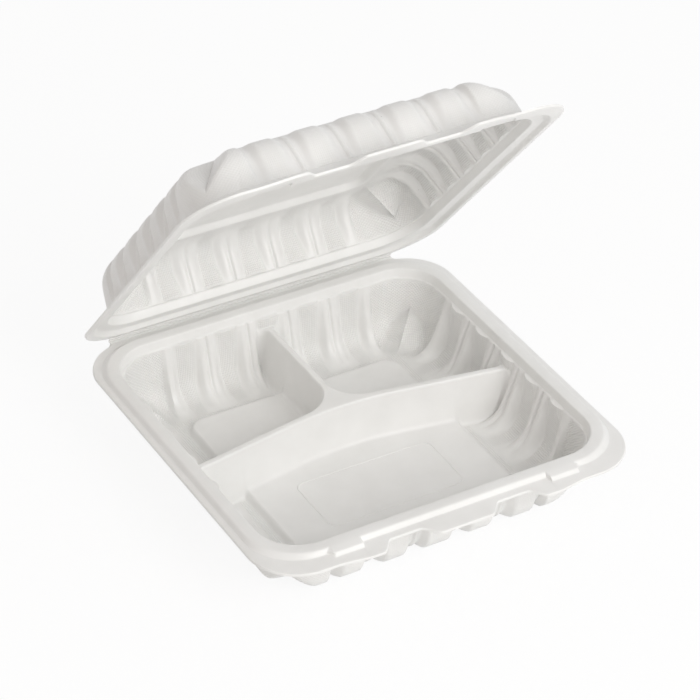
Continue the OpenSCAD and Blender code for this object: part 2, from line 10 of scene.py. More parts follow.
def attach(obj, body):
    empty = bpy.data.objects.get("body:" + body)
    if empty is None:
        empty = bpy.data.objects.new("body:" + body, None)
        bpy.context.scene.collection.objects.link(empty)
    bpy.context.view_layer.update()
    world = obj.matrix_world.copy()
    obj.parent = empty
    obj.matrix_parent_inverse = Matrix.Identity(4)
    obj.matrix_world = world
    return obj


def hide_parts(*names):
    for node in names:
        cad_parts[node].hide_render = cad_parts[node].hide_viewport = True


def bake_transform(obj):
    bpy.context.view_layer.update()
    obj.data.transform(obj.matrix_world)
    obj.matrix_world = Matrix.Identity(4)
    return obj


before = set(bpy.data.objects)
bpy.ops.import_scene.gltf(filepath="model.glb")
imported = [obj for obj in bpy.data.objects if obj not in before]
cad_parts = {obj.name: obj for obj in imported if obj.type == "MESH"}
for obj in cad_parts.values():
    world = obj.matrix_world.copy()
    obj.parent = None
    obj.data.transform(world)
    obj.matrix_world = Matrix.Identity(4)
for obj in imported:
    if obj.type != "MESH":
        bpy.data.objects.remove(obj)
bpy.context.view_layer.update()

MM = 0.001

# Sizes of the formed sheet in millimetres, the same as in the model
SHEET = 0.4
SPAN_HALF = 113.0
BASE_HEIGHT = 38.5
LID_DEPTH = 33.0
LID_ANGLE = 50.6
FLANGE_W, LIP_DROP, LIP_FLARE = 3.3, 1.3, 0.3
STEP_RUN, LAND_RISE, LAND_W = 1.9, 2.7, 6.6
BAND_RUN, BAND_H, LEDGE_W, LEDGE_DROP = 1.4, 4.9, 1.0, 0.4
FLANGE_R, LAND_R, WALL_R, FOOT_R = 28.0, 31.0, 22.8, 4.0
LATCH_INSET = 6.6
LOBE_OUT, LOBE_GAP_IN, LOBE_HALF, LOBE_RUN = 2.5, 5.5, 15.0, 9.0
LOBE_BESIDE_LUG, LOBE_FADE = 6.3, 22.0
LAND_IN = FLANGE_W + STEP_RUN
BAND_IN = LAND_IN + LAND_W
BAND_FOOT_IN = BAND_IN + BAND_RUN
WALL_IN = BAND_FOOT_IN + LEDGE_W
STRAIGHT_RIM = SPAN_HALF - LAND_IN - LAND_R
STRAIGHT_TOP = SPAN_HALF - WALL_IN - WALL_R

# Flutes and ribs
PITCH, PANEL_W, FLANK_W, TAPER, RIB_TAPER = 26.4, 14.0, 3.0, 2.5, 0.8
GROOVE, GROOVE_HALF, GROOVE_SIDE, END_RIB_W = 1.3, 1.2, 0.8, 2.4
RIB_DRAFT, RIB_FOOT_R, PANEL_DRAFT, PANEL_FOOT_R = 18.0, 17.0, 7.0, 14.0
PANEL_BACK, PILLOW, CORNER_PILLOW = 0.4, 2.2, 0.2
FACET_IN, FACET_SLOPE, FACET_FALL, FACET_RIDGE = 39.5, 0.52, 0.42, 0.8
FACET_RIDGE_W, FACET_BLEND = 1.3, 3.0
FLUTES_EACH_SIDE = 2
FLUTE_HALF = PANEL_W / 2 + FLANK_W
FLUTES_END = FLUTES_EACH_SIDE * PITCH + FLUTE_HALF
RIB_END = FLUTES_END + END_RIB_W

# Floor, raised panel and dividers
RING_HALF, PANEL_HALF, PANEL_R, PANEL_H = 73.01, 66.01, 8.0, 4.0
PANEL_EDGE_OUT, PANEL_EDGE_RUN = 3.0, 3.4
WALL_FOOT_IN = 26.1
STRAIGHT_FOOT = RING_HALF - FOOT_R
DIVIDER_H, DIVIDER_TOP, DIVIDER_RUN = 30.0, 1.9, 4.6
DIVIDER_END_Y, DIVIDER_SLOPE, DIVIDER_BEND, BEND_R = -1.0, 0.165, 32.0, 20.0
DIVIDER_REACH = SPAN_HALF - 20.0
DIVIDER_FLARE_AT, DIVIDER_FLARE_R, DIVIDER_FLARE_W = 97.3, 4.0, 12.0

# Pressed lattice: its pitch, depth and change of tone, which is painted shade in its hollows and painted highlight
# on its ridges, and the radius at which it goes round the corners
LATTICE_PITCH, LATTICE_DEPTH, LATTICE_PAINTED_SHADE, LATTICE_ARC_R = 1.8, 0.15, 0.055, 19.0

GRAIN_DEPTH = 0.012

# Share of the pressed lattice that shows on the outer side of the sheet
OUTER_LATTICE = 0.4

# Hinge and latches
AXIS_Y = SPAN_HALF + 3.5
CLOSE_GAP = 0.3
AXIS_Z = BASE_HEIGHT + CLOSE_GAP / 2
HINGE_HALF = 91.0
WEB_REACH, WEB_T = 2.4, 0.35
SHARP_DEG, WEB_SHARP_DEG = 58.0, 30.0
LUG_X, LUG_W, LUG_OUT, LUG_DROP, LUG_SIDE, LUG_SLOPE = 66.0, 18.6, 4.4, 0.6, 0.8, 0.6
POCKET_GAP = 0.8

# Camera, fitted to the photograph: azimuth and elevation of the view in
# degrees, roll, distance and focal length, all for a 700 x 700 image
CAMERA_AT = (-0.6994, -1.1496, 1.036)
AZIMUTH, ELEVATION, ROLL = 31.15, 35.53, 1.68
IMAGE_PX = 700
FOCAL_PX = 3089.5
SENSOR_MM = 36.0

RIGHT, BACK, LEFT, FRONT = range(4)
HINGE_TURN = math.degrees(math.asin((HINGE_HALF - SPAN_HALF + FLANGE_R) / FLANGE_R))
TAIL_FROM = 66.0


def lerp(a, b, t):
    return a + (b - a) * t


def ease(t):
    u = np.clip(t, 0, 1)
    return u * u * (3 - 2 * u)


def softmax(a, b, k):
    """The larger of two heights, with the corner between them rounded over k."""
    h = np.clip(k - np.abs(a - b), 0, None) / k
    return np.maximum(a, b) + h * h * k / 4


def rounded(points, radii, steps=4):
    """A polyline whose inner corners are rounded. points is a list of equal arrays whose last axis is x, y, z."""
    rows = [points[0]]
    for before, point, after, r in zip(points[:-2], points[1:-1], points[2:], radii):
        ends = []
        for other in (before, after):
            way = other - point
            length = np.linalg.norm(way, axis=-1, keepdims=True)
            ends.append(point + way * np.minimum(r / np.maximum(length, 1e-9), 0.45))
        for t in np.linspace(0, 1, steps):
            rows.append((1 - t) ** 2 * ends[0] + 2 * t * (1 - t) * point + t * t * ends[1])
    rows.append(points[-1])
    return rows


def side_places():
    """Places along one side, finer at the ribs, the divider ends and the lugs."""
    rib = (0, 0.35, 0.7, 1.0, 1.4, 2.2, 3.2, 3.9, 4.7, 5.5, 6.2)
    divider = (0, 0.9, 1.5, 1.9, 2.2, 2.5, 2.9, 3.5, 4.3, 5.2, 6.1, 7.0)
    marks = [k * PITCH + s * o for k in (-1.5, -0.5, 0.5, 1.5) for s in (-1, 1) for o in rib]
    marks += [s * o for s in (-1, 1) for o in divider]
    for k in (-2, -1, 1, 2):
        marks += list(k * PITCH + np.linspace(-PANEL_W / 2, PANEL_W / 2, 9))
    lug = LUG_X - LUG_W / 2
    for s in (-1, 1):
        marks += [s * (FLUTES_END - o) for o in (0, 0.7, 1.5, 2.3)]
        marks += [s * (FLUTES_END + o) for o in (0.8, 1.6, END_RIB_W)]
        marks += [s * (lug + o) for o in (-1.3, -0.8, -0.4, 0, 0.4)]
    marks = sorted(marks)
    kept = [marks[0]]
    for m in marks[1:]:
        if m - kept[-1] > 0.28 and abs(m) < TAIL_FROM - 0.3:
            kept.append(m)
    return kept


class Stations:
    """Stations around one half of the container: straight ones, tails and corners."""

    def __init__(self, latch_side):
        rows = []
        turns = sorted({0, 4, 8, HINGE_TURN - 0.3, HINGE_TURN, 17, 22, 27, 32, 36, 39.5, 42.5, 43.8, 45})
        turns = turns + [90 - t for t in reversed(turns[:-1])]
        middle = side_places()
        for side in range(4):
            count = 18 if side == latch_side else 6
            tail = np.linspace(0, 1, count, endpoint=False)
            rows += [(side, -TAIL_FROM, f, -1) for f in tail[::-1]]
            rows += [(side, m, 0, -1) for m in middle]
            rows += [(side, TAIL_FROM, f, -1) for f in tail]
            rows += [(side, 0, 0, t) for t in turns]
        a = np.array(rows, float)
        self.side = a[:, 0].astype(int)
        self.place, self.tail, self.turn = a[:, 1], a[:, 2], a[:, 3]
        self.flat = self.turn < 0
        angle = np.radians(np.where(self.flat, 0, self.turn))
        self.cos, self.sin = np.cos(angle), np.sin(angle)
        self.latch = (self.side == latch_side) & self.flat
        self.count = len(a)

    def along(self, straight):
        reach = np.asarray(straight) - TAIL_FROM
        return self.place + np.sign(self.place) * self.tail * reach

    def turned(self, out, along):
        s = self.side
        x = np.choose(s, [out, -along, -out, along])
        y = np.choose(s, [along, out, -along, -out])
        return x, y

    def outline(self, half, straight, shift=0):
        """Points of a rounded square. shift moves the straight ones along their side."""
        r = half - straight
        out = np.where(self.flat, half, straight + r * self.cos)
        along = np.where(self.flat, self.along(straight) + shift, straight + r * self.sin)
        return self.turned(out, along)


def seat(x, y, half, way):
    """Moves the tub towards the hinge, less near the rim. way is 1 where +Y is the hinge side."""
    shift = LATCH_INSET / 2
    rim = np.clip((half - PANEL_HALF) / (SPAN_HALF - WALL_IN - PANEL_HALF), 0, 1)
    return x, way * shift + y * (1 - shift * rim / np.maximum(half, 1))


def lobe(place):
    """How far the flange of the latch side stands out."""
    a = np.abs(place)
    gap_end = LUG_X - LUG_W / 2 - LOBE_BESIDE_LUG - LOBE_RUN
    gap = ease((a - LOBE_HALF) / LOBE_RUN) * (1 - ease((a - gap_end) / LOBE_RUN))
    return lerp(LOBE_OUT, -LOBE_GAP_IN, gap) - LOBE_OUT * ease((a - STRAIGHT_RIM) / LOBE_FADE + 1)


def rim_rows(st, up, way, grow):
    """Rows of the rim, from the lip to the top of the band's foot, in a frame where the flange is at z = 0."""
    mid_z = LAND_RISE * 0.55

    def loop(inward, corner_r, z, out=0.0):
        half = SPAN_HALF - inward
        straight = half - corner_r
        x, y = st.outline(half, straight)
        dx, dy = st.turned(np.where(st.flat, 1, st.cos), np.where(st.flat, 0, st.sin))
        if inward > 0:
            x, y = seat(x, y, half, way)
        return np.stack([x + dx * out, y + dy * out, np.broadcast_to(z, x.shape)], -1)

    def on_latch(straight, value):
        return np.where(st.latch, value(st.along(straight)), 0)

    def lug(place):
        edge = LUG_W / 2 + grow - np.abs(np.abs(place) - LUG_X)
        return np.clip(edge / LUG_SIDE + 0.5, 0, 1)

    # The step's foot and middle, with corner radii between the flange's and the land's
    foot_r = lerp(FLANGE_R, LAND_R, 0.5)
    mid_in = FLANGE_W + STEP_RUN / 2
    mid_r = lerp(FLANGE_R, LAND_R, 0.8)
    flange_straight = SPAN_HALF - FLANGE_R
    stand = on_latch(flange_straight, lobe)
    lug_foot = on_latch(SPAN_HALF - FLANGE_W - foot_r, lug)
    lug_mid = on_latch(SPAN_HALF - mid_in - mid_r, lug)
    step = LUG_OUT + grow
    mid_rise = lerp(mid_z, LAND_RISE - LUG_DROP + grow, lug_mid)
    points = [
        loop(0, FLANGE_R, -LIP_DROP, stand + LIP_FLARE),
        loop(0, FLANGE_R, 0, stand),
        loop(FLANGE_W, foot_r, 0, step * lug_foot),
        loop(mid_in, mid_r, up * mid_rise, (step - LUG_SLOPE) * lug_mid),
        loop(LAND_IN, LAND_R, up * LAND_RISE),
        loop(BAND_IN, SPAN_HALF - BAND_IN - STRAIGHT_TOP, up * LAND_RISE),
        loop(BAND_FOOT_IN, SPAN_HALF - BAND_FOOT_IN - STRAIGHT_TOP, up * LAND_RISE - BAND_H),
    ]
    edge, turn = points[0], points[1]
    # On the hinge side the flange stops short, where the web takes over
    hinged = (way * turn[:, 1] > 0) & (np.abs(turn[:, 0]) < HINGE_HALF + 0.01)
    turn[hinged, 1] = way * (SPAN_HALF - 0.4)
    turn[hinged, 2] = -0.1
    edge[hinged, 1] = way * (AXIS_Y - WEB_REACH + 0.1)
    edge[hinged, 2] = -0.22
    return points


def profile(t, draft, foot_r, top_in, top_z, floor_z):
    """Distance inward and height at step t of a wall that turns onto the floor, from 0 at its top to 2."""
    draft = math.radians(draft)
    turn_z = floor_z + foot_r * (1 - math.sin(draft))
    turn_in = top_in + (top_z - turn_z) * math.tan(draft)
    if t <= 1:
        return lerp(top_in, turn_in, t), lerp(top_z, turn_z, t)
    a = (math.pi / 2 - draft) * (2 - min(t, 2))
    return turn_in + foot_r * (math.cos(draft) - math.sin(a)), floor_z + foot_r * (1 - math.cos(a))


def flute_offset(place):
    """Distance from the centre of the nearest flute."""
    k = np.clip(np.round(place / PITCH), -FLUTES_EACH_SIDE, FLUTES_EACH_SIDE)
    return place - k * PITCH


def rib_weight(place):
    a = np.abs(place)
    flank = np.clip((np.abs(flute_offset(place)) - PANEL_W / 2) / FLANK_W, 0, 1)
    end = 1 - np.clip((a - RIB_END) / 2.2, 0, 1)
    w = np.where(a > FLUTES_END, end, flank)
    return lerp(w, ease(w), 0.5)


def taper_shift(place, split):
    """How far a place moves along its side on the way down, so that the flutes narrow."""
    marks = [(-RIB_END - 3, 0), (-RIB_END, 0)]
    for k in range(-FLUTES_EACH_SIDE, FLUTES_EACH_SIDE + 1):
        t = 0.5 if split and k == 0 else TAPER
        c = k * PITCH
        marks += [(c - FLUTE_HALF, RIB_TAPER), (c - PANEL_W / 2, t), (c, 0),
                  (c + PANEL_W / 2, -t), (c + FLUTE_HALF, -RIB_TAPER)]
    marks += [(RIB_END, 0), (RIB_END + 3, 0)]
    return np.interp(place, *zip(*marks))


def divider_y(x):
    a = np.abs(x)
    bend_y = DIVIDER_END_Y + DIVIDER_SLOPE * (DIVIDER_REACH - DIVIDER_BEND)
    bent = bend_y + DIVIDER_SLOPE * (DIVIDER_BEND ** 2 - a * a) / (2 * DIVIDER_BEND)
    return np.where(a > DIVIDER_BEND, bend_y - DIVIDER_SLOPE * (a - DIVIDER_BEND), bent)


def beside_divider(x, y):
    """Distance from the edge of the dividers' tops, less than 0 on top of them."""
    main = np.abs(y - divider_y(x)) - DIVIDER_TOP
    rear = np.abs(x) - DIVIDER_TOP
    behind = y > divider_y(x)
    bend = (main < BEND_R) & (rear < BEND_R) & behind
    corner = BEND_R - np.hypot(BEND_R - main, BEND_R - rear)
    return np.where(bend, corner, np.where(behind, np.minimum(main, rear), main))


def divider_section():
    """Cross-section of a divider's side: distances from the top's edge, and shares of its height."""
    tall = DIVIDER_H - SHEET - PANEL_H
    corners = [np.array(p, float) for p in ((-1.9, tall), (0, tall), (DIVIDER_RUN, 0), (12, 0))]
    line = np.array(rounded(corners, (1.0, 2.6), 9))
    return line[:, 0], line[:, 1] / tall


SECTION_D, SECTION_P = divider_section()


def with_divider(z, g):
    return z + np.maximum(0, DIVIDER_H - z) * np.interp(g, SECTION_D, SECTION_P)


def facet(x, y):
    """Height above the floor of the two facets in each corner and the ridge between them."""
    across = np.abs(np.abs(x) - np.abs(y))
    ridge = FACET_RIDGE * np.clip(1 - across / FACET_RIDGE_W, 0, 1)
    rise = FACET_SLOPE * (np.abs(x) + np.abs(y) - 2 * (SPAN_HALF - FACET_IN)) - FACET_FALL * across
    return rise + ridge * np.clip(rise / 3, 0, 1)


# Steps down a wall: 0 to 1 is its straight part, to 2 its foot, and to 3 the flat floor up to the ring
WALL_STEPS = [0, 0.03, 0.1, 0.2, 0.32, 0.45, 0.6, 0.8, 1.0]
WALL_STEPS += [1 + k / 10 for k in range(1, 11)] + [2.25, 2.5, 2.75, 3]


def wall_rows(st, top_z, floor_z, tray):
    """Rows of the walls down to the ring on the floor, with each row's lattice place and mask."""
    rows, lattices = [], []
    run = 0.0
    last = None
    for t in WALL_STEPS:
        down = min(1, t / 2)
        straight = lerp(STRAIGHT_TOP, STRAIGHT_FOOT, down)
        place = np.where(st.flat, st.along(straight), 0)
        rib_in, rib_z = profile(t, RIB_DRAFT, RIB_FOOT_R, WALL_IN, top_z, floor_z)
        panel_in, panel_z = profile(t, PANEL_DRAFT, PANEL_FOOT_R, WALL_IN - PANEL_BACK, top_z, floor_z)
        v = flute_offset(place)
        weight = np.where(st.flat, rib_weight(place), 0)
        bulge = np.where(np.abs(place) < FLUTES_END, np.clip(1 - (v / (PANEL_W / 2)) ** 2, 0, 1), 0)
        bulge = np.where(st.flat, bulge, CORNER_PILLOW)
        inward = lerp(panel_in, rib_in, weight) + PILLOW * bulge * max(0, 1 - t) ** 2
        middle = (np.abs(v) > FLUTE_HALF) & (np.abs(place) < FLUTES_END)
        from_rib = np.abs(np.abs(v) - PITCH / 2)
        notch = GROOVE * np.clip((GROOVE_HALF - from_rib) / GROOVE_SIDE, 0, 1) * np.where(middle, 1, 0)
        fade = min(1, (t + 0.02) / 0.12) * min(1, max(0, (1.9 - t) / 0.5))
        z = lerp(panel_z, rib_z, weight)
        lean = min(1, max(0, (2 - t)))
        inward = inward - notch * fade * lean
        z = z - notch * fade * (1 - lean)
        half = SPAN_HALF - inward
        if t > 2:
            half = lerp(half, RING_HALF, t - 2)
            z = np.full(st.count, float(floor_z))
        round_straight = np.minimum(straight, half - FOOT_R)
        shift = taper_shift(place, tray) * down
        across = np.where(st.flat, place + shift, 0)
        if tray:
            reach = lerp(20, PANEL_HALF - 2, np.clip((DIVIDER_REACH - half) / (DIVIDER_REACH - PANEL_HALF), 0, 1))
            pull = divider_y(half) * np.clip(1 - np.abs(across) / reach, 0, 1)
            sign = np.choose(st.side, [1, 0, -1, 0])
            shift = shift + pull * sign * st.flat
        x, y = st.outline(half, round_straight, shift)
        z = softmax(z, floor_z + facet(x, y), FACET_BLEND)
        lower = z
        if tray:
            r = DIVIDER_FLARE_R
            from_wall = np.where(st.side == FRONT, 99, DIVIDER_FLARE_AT - half)
            flare = r - np.sqrt(np.clip(r * r - np.clip(r - from_wall, 0, r) ** 2, 0, None))
            z = with_divider(z, beside_divider(x, y) - flare * (np.abs(across) < DIVIDER_FLARE_W))
        xs, ys = seat(x, y, half, 1 if tray else -1)
        rows.append(np.stack([xs, ys, z], -1))
        step = (panel_in, panel_z)
        run += 0 if last is None else math.hypot(step[0] - last[0], step[1] - last[1])
        last = step
        if t > 2:
            run += 0.25 * (SPAN_HALF - WALL_FOOT_IN - RING_HALF)
        plain = ease((np.abs(v) - PANEL_W / 2 + 1.3) / 1.3)
        plain = np.where((np.abs(place) > FLUTES_END) & st.flat, rib_weight(place) * 2, plain)
        plain = np.where(st.flat, plain, 0)
        mask = np.clip(1 - plain, 0, 1) * (ease((t - 0.03) / 0.08) if t < 1 else 1)
        mask = mask * np.clip(1 - (z - lower) / 0.5, 0, 1)
        arc = np.radians(np.minimum(st.turn, 90 - st.turn)) * LATTICE_ARC_R
        corner = (~st.flat) | (np.abs(place) > RIB_END)
        u = np.where(st.flat, np.where(corner, np.abs(place), place), straight + arc)
        a = np.where(corner, u, (u + run) * math.sqrt(0.5))
        b = np.where(corner, run, (u - run) * math.sqrt(0.5))
        mask = mask * (1 if t < 2 else 0.8 if t < 3 else 0)
        lattices.append(np.stack([a, b, mask], -1))
    return rows, lattices


def panel_share(x, y):
    """How much of the raised panel's height holds at a place of the floor, and the distance outside its outline."""
    q = np.stack([np.abs(x), np.abs(y)], -1) - (PANEL_HALF - PANEL_R)
    away = np.linalg.norm(np.clip(q, 0, None), axis=-1) + np.minimum(q.max(-1), 0) - PANEL_R
    return ease((PANEL_EDGE_OUT - away) / PANEL_EDGE_RUN), away


def rounded_square(half, r, step):
    """Points around a rounded square, in order."""
    straight = half - r
    points = []
    for k in range(4):
        turn = np.array([[math.cos(k * math.pi / 2), -math.sin(k * math.pi / 2)],
                         [math.sin(k * math.pi / 2), math.cos(k * math.pi / 2)]])
        side = [(half, a) for a in np.linspace(-straight, straight, int(2 * straight / step), endpoint=False)]
        bend = [(straight + r * math.cos(a), straight + r * math.sin(a))
                for a in np.linspace(0, math.pi / 2, max(6, int(1.6 * r / step)), endpoint=False)]
        points += [tuple(turn @ np.array(p)) for p in side + bend]
    return points


def floor_points(tray):
    """Places of the floor inside the ring: loops at the panel's edge, lines beside the dividers and a loose grid."""
    loops = [p for away in (-0.8, -0.3, 0.2, 0.7, 1.2, 1.7, 2.2, 2.7, 3.2)
             for p in rounded_square(PANEL_HALF + away, PANEL_R + away, 1.3)]
    lines = []
    if tray:
        levels = [-1.9, -1.2, -0.7, -0.35, 0, 0.3, 0.7, 1.3, 2.1, 2.9, 3.6, 4.2, 4.8, 5.5, 6.3, 7.3]
        for d in levels:
            for x in np.arange(-RING_HALF + 0.6, RING_HALF - 0.5, 1.1):
                lines.append((x, float(divider_y(x)) - DIVIDER_TOP - d))
            ds = list(np.arange(RING_HALF, BEND_R, -1.1))
            path = [(s, d) for s in ds]
            path += [(BEND_R - (BEND_R - d) * math.cos(a), BEND_R - (BEND_R - d) * math.sin(a))
                     for a in np.linspace(math.pi / 2, 0, 24)]
            path += [(d, m) for m in np.arange(BEND_R + 1.1, RING_HALF + 5, 1.1)]
            for s in (-1, 1):
                for rear, main in path:
                    x = DIVIDER_TOP + rear
                    if rear > -DIVIDER_TOP + 0.05 or s > 0:
                        lines.append((s * x, float(divider_y(x)) + DIVIDER_TOP + main))
    grid = [(x, y) for x in np.arange(-70, 70.1, 3.5) for y in np.arange(-70, 70.1, 3.5)]
    loops, lines, grid = (np.array(p, float).reshape(-1, 2) for p in (loops, lines, grid))
    if tray:
        lines = lines[beside_divider(lines[:, 0], lines[:, 1]) > -2.2]
        away = np.abs(panel_share(lines[:, 0], lines[:, 1])[1] - 1.2)
        g = beside_divider(lines[:, 0], lines[:, 1])
        lines = lines[(away > 2.5) | (g < 5.2)]
        loops = loops[beside_divider(loops[:, 0], loops[:, 1]) > 5.6]
        grid = grid[beside_divider(grid[:, 0], grid[:, 1]) > 9]
    grid = grid[np.abs(panel_share(grid[:, 0], grid[:, 1])[1] - 1.2) > 3.2]
    points = np.concatenate([loops, lines, grid])
    inside = np.abs(points).max(1) < RING_HALF - 0.5
    points = points[inside]
    cell = np.round(points / 0.24).astype(int)
    return points[np.unique(cell, axis=0, return_index=True)[1]]


def floor_patch(ring, tray):
    """Triangles that fill the ring, with the places of the points added inside it."""
    inner = floor_points(tray)
    corner = np.abs(inner) - STRAIGHT_FOOT
    inner = inner[~((corner.min(1) > 0) & (np.linalg.norm(corner, axis=1) > FOOT_R - 0.5))]
    everything = [Vector(p) for p in ring] + [Vector(p) for p in inner]
    _, _, faces, origin, _, _ = delaunay_2d_cdt(everything, [], [list(range(len(ring)))], 1, 1e-4)
    index = [o[0] if o else -1 for o in origin]
    triangles = [[index[i] for i in f] for f in faces]
    triangles = [f for f in triangles if min(f) >= 0 and len(set(f)) == 3]
    return inner, np.array(triangles)


def vertex_normals(points, quads, triangles):
    normals = np.zeros_like(points)
    for faces in (quads, triangles):
        k = faces.shape[1]
        p = [points[faces[:, c]] for c in range(k)]
        n = np.cross(p[2] - p[0], p[3] - p[1]) if k == 4 else np.cross(p[1] - p[0], p[2] - p[0])
        n /= np.maximum(np.linalg.norm(n, axis=1, keepdims=True), 1e-12)
        for c in range(k):
            np.add.at(normals, faces[:, c], n)
    return normals / np.maximum(np.linalg.norm(normals, axis=1, keepdims=True), 1e-12)


def formed_sheet(name, tray, matrix, material):
    """One half of the container as a smooth closed sheet."""
    up = 1 if tray else -1
    st = Stations(FRONT if tray else BACK)
    rim_z = BASE_HEIGHT if tray else 0.0
    floor_z = SHEET if tray else -LID_DEPTH
    top_z = rim_z + up * LAND_RISE - BAND_H - LEDGE_DROP
    wall, lattice = wall_rows(st, top_z, floor_z, tray)
    corners = rim_rows(st, up, up, 0.0 if tray else POCKET_GAP)
    for c in corners:
        c[:, 2] += rim_z
    rim = rounded(corners + [wall[0]], (0.55, 0.6, 0.5, 0.8, 0.8, 0.5))
    rows = rim[:-1] + wall
    count, n = len(rows), st.count
    plain = np.zeros((n, 3))
    weave = [plain] * (len(rim) - 1) + lattice
    ring_x, ring_y = rows[-1][:, 0], rows[-1][:, 1]
    shift = up * LATCH_INSET / 2
    half = np.full(n, RING_HALF)
    rim_share = (RING_HALF - PANEL_HALF) / (SPAN_HALF - WALL_IN - PANEL_HALF)
    tub_y = (ring_y - shift) / (1 - LATCH_INSET / 2 * rim_share / half)
    ring = np.stack([ring_x, tub_y], -1)
    inner, triangles = floor_patch(ring, tray)
    share, away = panel_share(inner[:, 0], inner[:, 1])
    z = floor_z + up * PANEL_H * share
    if tray:
        z = with_divider(z, beside_divider(inner[:, 0], inner[:, 1]))
    xs, ys = seat(inner[:, 0], inner[:, 1], np.abs(inner).max(1), up)
    points = np.concatenate([np.concatenate(rows), np.stack([xs, ys, z], -1)])
    k = np.arange(n)
    quads = np.concatenate([
        np.stack([r * n + k, r * n + (k + 1) % n, (r + 1) * n + (k + 1) % n, (r + 1) * n + k], -1)
        for r in range(count - 1)])
    start = (count - 1) * n
    triangles = triangles + start
    a, b, c = (points[triangles[:, i], :2] for i in range(3))
    clockwise = np.cross(b - a, c - a) < 0
    triangles[clockwise] = triangles[clockwise][:, ::-1]
    normals = vertex_normals(points, quads, triangles)
    under = points - normals * SHEET
    under[:, 2] = np.maximum(under[:, 2], 0 if tray else -LID_DEPTH - PANEL_H - SHEET)
    total = len(points)
    lip = np.stack([k, k + total, (k + 1) % n + total, (k + 1) % n], -1)
    faces = quads.tolist() + triangles.tolist()
    faces += (quads[:, ::-1] + total).tolist() + (triangles[:, ::-1] + total).tolist() + lip.tolist()
    vertices = np.concatenate([points, under])
    mesh = bpy.data.meshes.new(name)
    mesh.from_pydata(vertices * MM, [], faces)
    weave = np.concatenate([np.concatenate(weave), np.zeros((len(inner), 3))])
    margin = np.clip((away - 2.6) / 0.8, 0, 1)
    if tray:
        margin = margin * np.clip((beside_divider(inner[:, 0], inner[:, 1]) - 6) / 1.5, 0, 1)
    tub = np.zeros((total, 3))
    tub[:, :2] = points[:, :2]
    tub[start + n:, 2] = margin
    tub[start:start + n, 2] = 1.0 * (rows[-1][:, 2] < floor_z + 0.1)
    for label, values in (("wall_lattice", weave), ("floor_lattice", tub)):
        data = mesh.attributes.new(label, "FLOAT_VECTOR", "POINT")
        outer = values * np.array([1, 1, OUTER_LATTICE])
        data.data.foreach_set("vector", np.concatenate([values, outer]).astype(np.float32).ravel())
    mesh.materials.append(material)
    mesh.shade_smooth()
    mesh.set_sharp_from_angle(angle=math.radians(SHARP_DEG))
    mesh.transform(matrix)
    piece = bpy.data.objects.new(name, mesh)
    bpy.context.collection.objects.link(piece)
    return piece


def hinge_web(material):
    """The creased strip that joins the two halves, as a path around the axis that is swept along X."""
    tray_side = [(-WEB_REACH, 0), (-1.75, 0), (-1.5, -0.28), (-1.25, 0), (-0.3, 0.0), (-0.05, -0.05)]
    angle = math.radians(LID_ANGLE)
    lid_side = []
    for s, d in ((0.3, 0.0), (0.8, 0.0), (1.6, 0.02), (WEB_REACH, 0.02)):
        lid_side.append((-s * math.cos(angle) - d * math.sin(angle), s * math.sin(angle) - d * math.cos(angle)))
    path = np.array([(s, d - 0.2) for s, d in tray_side] + [(0.12, 0.0)] + lid_side)
    step = np.gradient(path, axis=0)
    step /= np.linalg.norm(step, axis=1, keepdims=True)
    side = np.stack([step[:, 1], -step[:, 0]], -1)
    back = path + side * WEB_T
    loop = np.concatenate([path, back[::-1]])
    xs = np.linspace(-HINGE_HALF, HINGE_HALF, 60)
    n = len(loop)
    vertices = [(x, AXIS_Y + p[0], AXIS_Z + p[1]) for x in xs for p in loop]
    faces = [(i * n + k, i * n + (k + 1) % n, (i + 1) * n + (k + 1) % n, (i + 1) * n + k)
             for i in range(len(xs) - 1) for k in range(n)]
    faces += [tuple(range(n - 1, -1, -1)), tuple((len(xs) - 1) * n + k for k in range(n))]
    mesh = bpy.data.meshes.new("hinge_web")
    mesh.from_pydata(np.array(vertices) * MM, [], faces)
    mesh.materials.append(material)
    mesh.shade_smooth()
    mesh.set_sharp_from_angle(angle=math.radians(WEB_SHARP_DEG))
    piece = bpy.data.objects.new("hinge_web", mesh)
    bpy.context.collection.objects.link(piece)
    return piece


def frame_line(material):
    """A thin raised line in a rounded rectangle on the floor of the front compartment."""
    low, high, r, wide, tall = (-42.0, -48.8), (42.0, -8.1), 5.0, 0.34, 0.42
    path = []
    for cx, cy, first in ((high[0] - r, high[1] - r, 0), (low[0] + r, high[1] - r, 90),
                          (low[0] + r, low[1] + r, 180), (high[0] - r, low[1] + r, 270)):
        for a in np.radians(first + np.linspace(0, 90, 10)):
            path.append((cx + r * math.cos(a), cy + r * math.sin(a), math.cos(a), math.sin(a)))
    right = [(wide * 0.5, tall), (wide, 0.02), (wide + 0.12, -0.1)]
    section = [(-s, h) for s, h in reversed(right)] + right
    z = SHEET + PANEL_H
    vertices = [(x + nx * s, y + ny * s, z + h) for x, y, nx, ny in path for s, h in section]
    n, m = len(section), len(path)
    faces = [(i * n + k, (i + 1) % m * n + k, (i + 1) % m * n + (k + 1) % n, i * n + (k + 1) % n)
             for i in range(m) for k in range(n)]
    mesh = bpy.data.meshes.new("floor_frame_line")
    mesh.from_pydata(np.array(vertices) * MM, [], faces)
    mesh.materials.append(material)
    mesh.shade_smooth()
    piece = bpy.data.objects.new("floor_frame_line", mesh)
    bpy.context.collection.objects.link(piece)
    return piece


